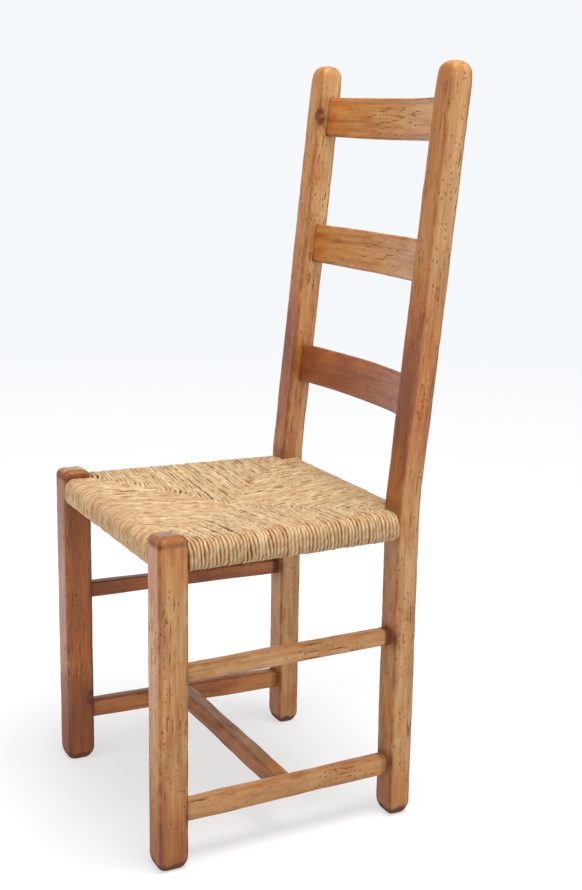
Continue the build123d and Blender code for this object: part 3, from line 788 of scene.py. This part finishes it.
def twisted_rush():
    """Dry rush: pale straw whose fibres follow the twist held in the lay attribute, with bleached
    and browner leaves, and brown painted shade in the grooves that the groove attribute gives."""
    material = bpy.data.materials.new("rush")
    material.use_nodes = True
    tree = material.node_tree
    shader = tree.nodes["Principled BSDF"]
    lay, leaf = reading(tree, "lay", "Vector"), reading(tree, "leaf")
    fine = node(tree, "ShaderNodeMapping", Vector=lay, Scale=(800, 800, 60)).outputs[0]
    broad = node(tree, "ShaderNodeMapping", Vector=lay, Scale=(260, 260, 26)).outputs[0]
    fibres = cloudy(tree, fine, 3.0, 0.6)
    bands = cloudy(tree, broad, 3.0)
    colour = blend(tree, span(tree, bands, 0.34, 0.62), DULL_STRAW, PALE_STRAW)
    colour = blend(tree, span(tree, fibres, 0.52, 0.70, 0.0, 0.6), colour, FIBRE_SHADE)
    colour = blend(tree, span(tree, leaf, 0.55, 1.0, 0.0, 0.5), colour, BLEACHED_LEAF)
    colour = blend(tree, span(tree, leaf, 0.40, 0.0, 0.0, 0.5), colour, BROWN_LEAF)
    caught = span(tree, fibres, 0.25, 0.65, 0.75, 1.0)
    groove_shading = sums(tree, "MULTIPLY", reading(tree, "groove"), caught)
    colour = blend(tree, groove_shading, colour, GROOVE_SHADE)
    tree.links.new(colour, shader.inputs["Base Color"])
    bump = node(tree, "ShaderNodeBump", Height=fibres, Strength=0.6, Distance=0.0007)
    tree.links.new(bump.outputs[0], shader.inputs["Normal"])
    shader.inputs["Roughness"].default_value = 0.60
    shader.inputs["Specular IOR Level"].default_value = 0.15
    return material


rush = twisted_rush()


def strand_lines(reach, start):
    """Middle lines of strands in the upright plane across their rail, strands by rows, as distance
    from the middle of the seat and height. Each rises at the mitre on a quarter turn, climbs the
    slack, goes round the rail on two quarter circles and runs back below to the mitre."""
    quarter = np.linspace(0, np.pi / 2, QUARTER_ROWS)
    floor = rail_z - ROLL / 2 + STRAND_HALF_HEIGHT
    start, reach = start[:, None], reach[:, None]
    edge = reach + ROLL / 2 - STRAND_HALF_HEIGHT - ROLL_CORNER
    hook = start + HOOK_DROP * (1 - np.cos(quarter))
    climb = hook[:, -1:] + (edge - hook[:, -1:]) * np.linspace(0, 1, CLIMB_ROWS)[1:]
    outer = edge + ROLL_CORNER
    fall = np.linspace(crown - ROLL_CORNER, floor + ROLL_CORNER, FALL_ROWS)[1:-1]
    back = edge + (start + TAIL_SHORT - edge) * np.linspace(0, 1, RETURN_ROWS)[1:]
    distance = [start, hook, climb, edge + ROLL_CORNER * np.sin(quarter[1:]), outer + 0 * fall]
    distance += [edge + ROLL_CORNER * np.cos(quarter), back]
    height = [slack(start, reach) - HOOK_DROP - TAIL_DROP]
    height += [slack(hook, reach) - HOOK_DROP * (1 - np.sin(quarter)), slack(climb, reach)]
    height += [crown - ROLL_CORNER * (1 - np.cos(quarter[1:])) + 0 * edge, fall + 0 * edge]
    height += [floor + ROLL_CORNER * (1 - np.sin(quarter)) + 0 * edge, floor + 0 * back]
    return np.concatenate(distance, 1), np.concatenate(height, 1), edge


def wound_panel(side, out, along, places, reach, mitre, bend, seed):
    """All the strands of one panel as closed tubes, strands by rows by columns. The section is an
    ellipse with two faint lobes that turn once in every twist length. Each strand bends towards
    the corner at its mitre, by the square of how near it is, and no two lie quite alike."""
    draw = np.random.default_rng(seed)
    count = len(places)
    hooked = bend * np.tanh(places / MIDDLE_EASE)
    start = np.maximum(mitre + np.abs(hooked) - MITRE_OVERLAP, MIDDLE_STOP)
    start = start + draw.normal(0, START_SCATTER, count)
    d, z, edge = strand_lines(reach, start)
    passed = np.cumsum(np.hypot(np.diff(d), np.diff(z)), 1)
    length = np.concatenate([np.zeros((count, 1)), passed], 1)
    slope_d, slope_z = np.gradient(d, axis=1), np.gradient(z, axis=1)
    scale = np.hypot(slope_d, slope_z) + 1e-9
    normal_d, normal_z = -slope_z / scale, slope_d / scale
    noise_at = np.stack([length, np.broadcast_to(places[:, None], d.shape), 0 * d + 0.1 * seed], -1)
    loose = ease(edge - d, -0.006, 0.03)
    wander = (HELD_WANDER + FREE_WANDER * loose) * ripple(noise_at, 0.026, seed)
    sway = draw.normal(0, SIDE_SCATTER, (count, 1)) + wander
    lean = ROLL_LEAN + draw.normal(0, LEAN_SCATTER, (count, 1))
    sway = sway + lean * (crown - z) / ROLL * (1 - loose)
    lift = draw.normal(0, LIFT_SCATTER, (count, 1)) + LIFT_WAVER * ripple(noise_at, 0.03, seed + 1)
    lift = lift * (0.6 + 0.6 * loose)
    d, z = d + lift * normal_d, z + lift * normal_z
    turn_in = np.clip(1 - (d - start[:, None]) / HOOK_REACH, 0, 1) ** 2
    offset = places[:, None] + sway + hooked[:, None] * turn_in
    theta = np.arange(STRAND_COLUMNS) * 2 * np.pi / STRAND_COLUMNS
    phase = draw.uniform(0, 2 * np.pi, (count, 1, 1))
    turned = theta - 2 * np.pi * length[..., None] / TWIST_LENGTH - phase
    swell = 1 + LOBE * np.cos(2 * turned)
    swell = swell + SWELLING * ripple(noise_at, 0.020, seed + 2)[..., None]
    broad = STRAND_HALF_WIDTH * draw.normal(1, WIDTH_SCATTER, (count, 1, 1))
    thick = STRAND_HALF_HEIGHT * draw.normal(1, HEIGHT_SCATTER, (count, 1, 1))
    wide, tall = broad * swell * np.cos(theta), thick * swell * np.sin(theta)
    points = (d[..., None] + tall * normal_d[..., None])[..., None] * np.array((*out, 0))
    points = points + (offset[..., None] + wide)[..., None] * np.array((*along, 0))
    points = points + (z[..., None] + tall * normal_z[..., None])[..., None] * np.array((0, 0, 1.0))
    points[..., 1] += seat_middle
    round_about = LAY_RADIUS * np.cos(turned), LAY_RADIUS * np.sin(turned)
    lay = np.stack([*round_about, length[..., None] + 0 * turned], -1)
    lay[..., 2] += draw.uniform(0, 20, (count, 1, 1))
    leaf = draw.normal(0.5, 0.18, (count, 1)) + 0.25 * ripple(noise_at, 0.05, seed + 3)
    leaf = np.broadcast_to(np.clip(leaf, 0, 1)[..., None], turned.shape)
    # The groove attribute paints brown shade on each strand's flanks and underside, all but its
    # crest: steady on the roll, and in dashes and patches across the top.
    apart = noise_at * (1.0, 4.0, 1.0)
    dashes = ease(ripple(apart, 0.022, seed + 4), -0.25, 0.35)
    packed = (1 - loose) * (0.75 + 0.25 * dashes) + loose * (0.06 + 0.80 * dashes)
    painted_shade = 0.36 * ease(ripple(apart, 0.014, seed + 5), 0.25, 0.55)
    groove = np.clip(packed, 0, 1)[..., None] * ease(np.sin(theta), 1.02, 0.72)
    groove = groove + painted_shade[..., None] * ease(np.sin(theta), 1.05, 0.70)
    rows = d.shape[1]
    ring = np.arange(STRAND_COLUMNS)
    row = (np.arange(rows - 1) * STRAND_COLUMNS)[:, None]
    cord = (np.arange(count) * rows * STRAND_COLUMNS)[:, None]
    after = np.roll(ring, -1)
    corner = [row + ring, row + after, row + STRAND_COLUMNS + after, row + STRAND_COLUMNS + ring]
    start_caps, end_caps = cord + ring[::-1], cord + (rows - 1) * STRAND_COLUMNS + ring
    if np.cross((*out, 0), (*along, 0))[2] > 0:
        corner, start_caps, end_caps = corner[::-1], start_caps[:, ::-1], end_caps[:, ::-1]
    quads = (np.stack(corner, -1)[None] + cord[..., None, None]).reshape(-1, 4)
    faces = quads.tolist() + start_caps.tolist() + end_caps.tolist()
    mesh = bpy.data.meshes.new(side + "_strands")
    mesh.from_pydata(points.reshape(-1, 3), [], faces)
    layers = {"lay": ("FLOAT_VECTOR", "vector", lay), "leaf": ("FLOAT", "value", leaf)}
    layers["groove"] = ("FLOAT", "value", np.clip(groove, 0, 1))
    for key, (kind, field, values) in layers.items():
        layer = mesh.attributes.new(key, kind, "POINT")
        layer.data.foreach_set(field, values.astype(np.float32).ravel())
    mesh.polygons.foreach_set("use_smooth", np.full(len(mesh.polygons), True))
    mesh.materials.append(rush)
    panel = bpy.data.objects.new(side + "_strands", mesh)
    bpy.context.scene.collection.objects.link(panel)
    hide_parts(side + "_rush")
    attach(panel, "root")


def laid_out(low_end, high_end):
    """Middles of the strands that fill the run between two posts side by side."""
    count = int(round((high_end - low_end) / STRAND_PITCH))
    return low_end + (np.arange(count) + 0.5) * (high_end - low_end) / count


straight_runs = (("front", front_rail_y, front_low.x), ("back", back_rail_y, rear_low.x))
for side, rail_y, post_inner in straight_runs:
    across = laid_out(-post_inner + POST_GAP, post_inner - POST_GAP)
    reach = 0 * across + seat_depth
    mitre = seat_depth * np.abs(across) / side_rail_x(rail_y)
    out = (0, np.sign(rail_y - seat_middle))
    wound_panel(side, out, (1, 0), across, reach, mitre, STRAIGHT_BEND, 5 + len(side))
for side, hand in (("left", 1), ("right", -1)):
    y = laid_out(front_high.y + POST_GAP, rear_low.y - POST_GAP)
    corner_y = np.where(y < seat_middle, front_rail_y, back_rail_y)
    reach = side_rail_x(y)
    mitre = side_rail_x(corner_y) * (y - seat_middle) / (corner_y - seat_middle)
    wound_panel(side, (hand, 0), (0, 1), y - seat_middle, reach, mitre, SIDE_BEND, 31 + hand)

# Studio: a pale floor that glows, most of all in front, and fades into a white room. A soft key
# hangs nearly overhead, a weaker light stands in front and the ceiling adds a wash. The walls are
# bright on the sitter's right and, less so, on the left.
FLOOR_COLOUR = (0.30, 0.30, 0.30)
FLOOR_GLOW = 0.585
FAR_GLOW = 0.12
FRONT_WAY = (-0.27, -0.963, 0.0)
FRONT_GLOW = 1.1
FLOOR_HALF = 3.0
FLOOR_CLEAR, FLOOR_END = 1.3, 2.6
SURROUND = (0.915, 0.940, 0.965)
HORIZON = (0.985, 0.990, 0.995)
BRIGHT_WAY = (-0.9925, 0.122, 0.0)
BRIGHT, DIM, SIDE = 2.0, 0.40, 1.15
CEILING = 0.55
floor_mesh = bpy.data.meshes.new("floor")
floor_corners = FLOOR_HALF * np.array([(-1, -1, 0), (1, -1, 0), (1, 1, 0), (-1, 1, 0)])
floor_mesh.from_pydata(floor_corners, [], [(0, 1, 2, 3)])
floor_object = bpy.data.objects.new("floor", floor_mesh)
bpy.context.scene.collection.objects.link(floor_object)
paper = bpy.data.materials.new("floor_paper")
paper.use_nodes = True
tree = paper.node_tree
paper_shader = tree.nodes["Principled BSDF"]
paper_shader.inputs["Base Color"].default_value = (*FLOOR_COLOUR, 1)
paper_shader.inputs["Roughness"].default_value = 0.8
paper_shader.inputs["Emission Color"].default_value = (1, 1, 1, 1)
places = node(tree, "ShaderNodeTexCoord").outputs["Object"]
ahead = node(tree, "ShaderNodeVectorMath", {"operation": "DOT_PRODUCT"}, i0=places, i1=FRONT_WAY)
distance = node(tree, "ShaderNodeVectorMath", {"operation": "LENGTH"}, i0=places).outputs["Value"]
glow = span(tree, ahead.outputs["Value"], 0.40, 0.80, FLOOR_GLOW, FLOOR_GLOW + FRONT_GLOW)
glow = sums(tree, "ADD", glow, span(tree, distance, 0.4, 1.0, 0.0, FAR_GLOW))
tree.links.new(glow, paper_shader.inputs["Emission Strength"])
tree.links.new(span(tree, distance, FLOOR_CLEAR, FLOOR_END, 1.0, 0.0), paper_shader.inputs["Alpha"])
floor_mesh.materials.append(paper)
world = bpy.data.worlds.new("white_room")
world.use_nodes = True
tree = world.node_tree
ways = node(tree, "ShaderNodeTexCoord").outputs["Generated"]
rise = node(tree, "ShaderNodeSeparateXYZ", Vector=ways).outputs["Z"]
facing = node(tree, "ShaderNodeVectorMath", {"operation": "DOT_PRODUCT"}, i0=ways, i1=BRIGHT_WAY)
level = span(tree, facing.outputs["Value"], 0.82, 0.91, DIM, BRIGHT)
aside = node(tree, "ShaderNodeSeparateXYZ", Vector=ways).outputs["X"]
level = sums(tree, "ADD", level, span(tree, aside, 0.0, 0.8, 0.0, SIDE))
level = sums(tree, "MULTIPLY", level, span(tree, rise, 0.12, 0.45, 1.0, CEILING))
room = node(tree, "ShaderNodeVectorMath", {"operation": "SCALE"}, i0=SURROUND, Scale=level)
backdrop = blend(tree, span(tree, rise, -0.24, -0.14), HORIZON, SURROUND)
seen = node(tree, "ShaderNodeLightPath").outputs["Is Camera Ray"]
shown = blend(tree, seen, room.outputs[0], backdrop)
tree.links.new(shown, tree.nodes["Background"].inputs["Color"])
bpy.context.scene.world = world


def soft_light(name, place, target, size, power, mirrored):
    """A square area light at a place, turned to face its target and hidden from the camera. It is
    left out of reflections where it stands for a whole bright wall."""
    lamp = bpy.data.lights.new(name, "AREA")
    lamp.size = size
    lamp.energy = power
    holder = bpy.data.objects.new(name, lamp)
    holder.location = place
    holder.rotation_euler = (Vector(target) - Vector(place)).to_track_quat("-Z", "Y").to_euler()
    holder.visible_camera = False
    holder.visible_glossy = mirrored
    bpy.context.scene.collection.objects.link(holder)


soft_light("overhead_key", (0.75, 0.25, 3.2), (0, 0, 0.4), 1.7, 115, False)
soft_light("front_light", (0.4, -3.2, 1.5), (0, 0, 0.5), 2.0, 42, False)
soft_light("ceiling_wash", (0.2, 0.0, 3.4), (0, 0, 0.4), 2.6, 25, True)

# Camera: stands on the sitter's left, in front and a little above the top slat. Its place, turn
# and focal length come from fitting the posts' edges in a picture 582 by 890 pixels.
CAMERA_PLACE = (1.8431, -0.8773, 0.9969)
YAW, PITCH, ROLL_TURN = np.radians((62.93, -12.91, 0.95))
FOCAL_PIXELS, PICTURE_HEIGHT = 1430.3, 890
SENSOR = 36.0
view = np.array((-np.sin(YAW) * np.cos(PITCH), np.cos(YAW) * np.cos(PITCH), np.sin(PITCH)))
level_right = np.array((np.cos(YAW), np.sin(YAW), 0))
level_up = np.cross(level_right, view)
right = np.cos(ROLL_TURN) * level_right + np.sin(ROLL_TURN) * level_up
up = np.cos(ROLL_TURN) * level_up - np.sin(ROLL_TURN) * level_right
lens = bpy.data.cameras.new("camera")
lens.sensor_fit = "VERTICAL"
lens.sensor_height = SENSOR
lens.lens = FOCAL_PIXELS * SENSOR / PICTURE_HEIGHT
camera = bpy.data.objects.new("camera", lens)
turn = Matrix((right, up, -view)).transposed().to_4x4()
camera.matrix_world = Matrix.Translation(CAMERA_PLACE) @ turn
bpy.context.scene.collection.objects.link(camera)
bpy.context.scene.camera = camera
bpy.context.scene.view_settings.view_transform = "Standard"
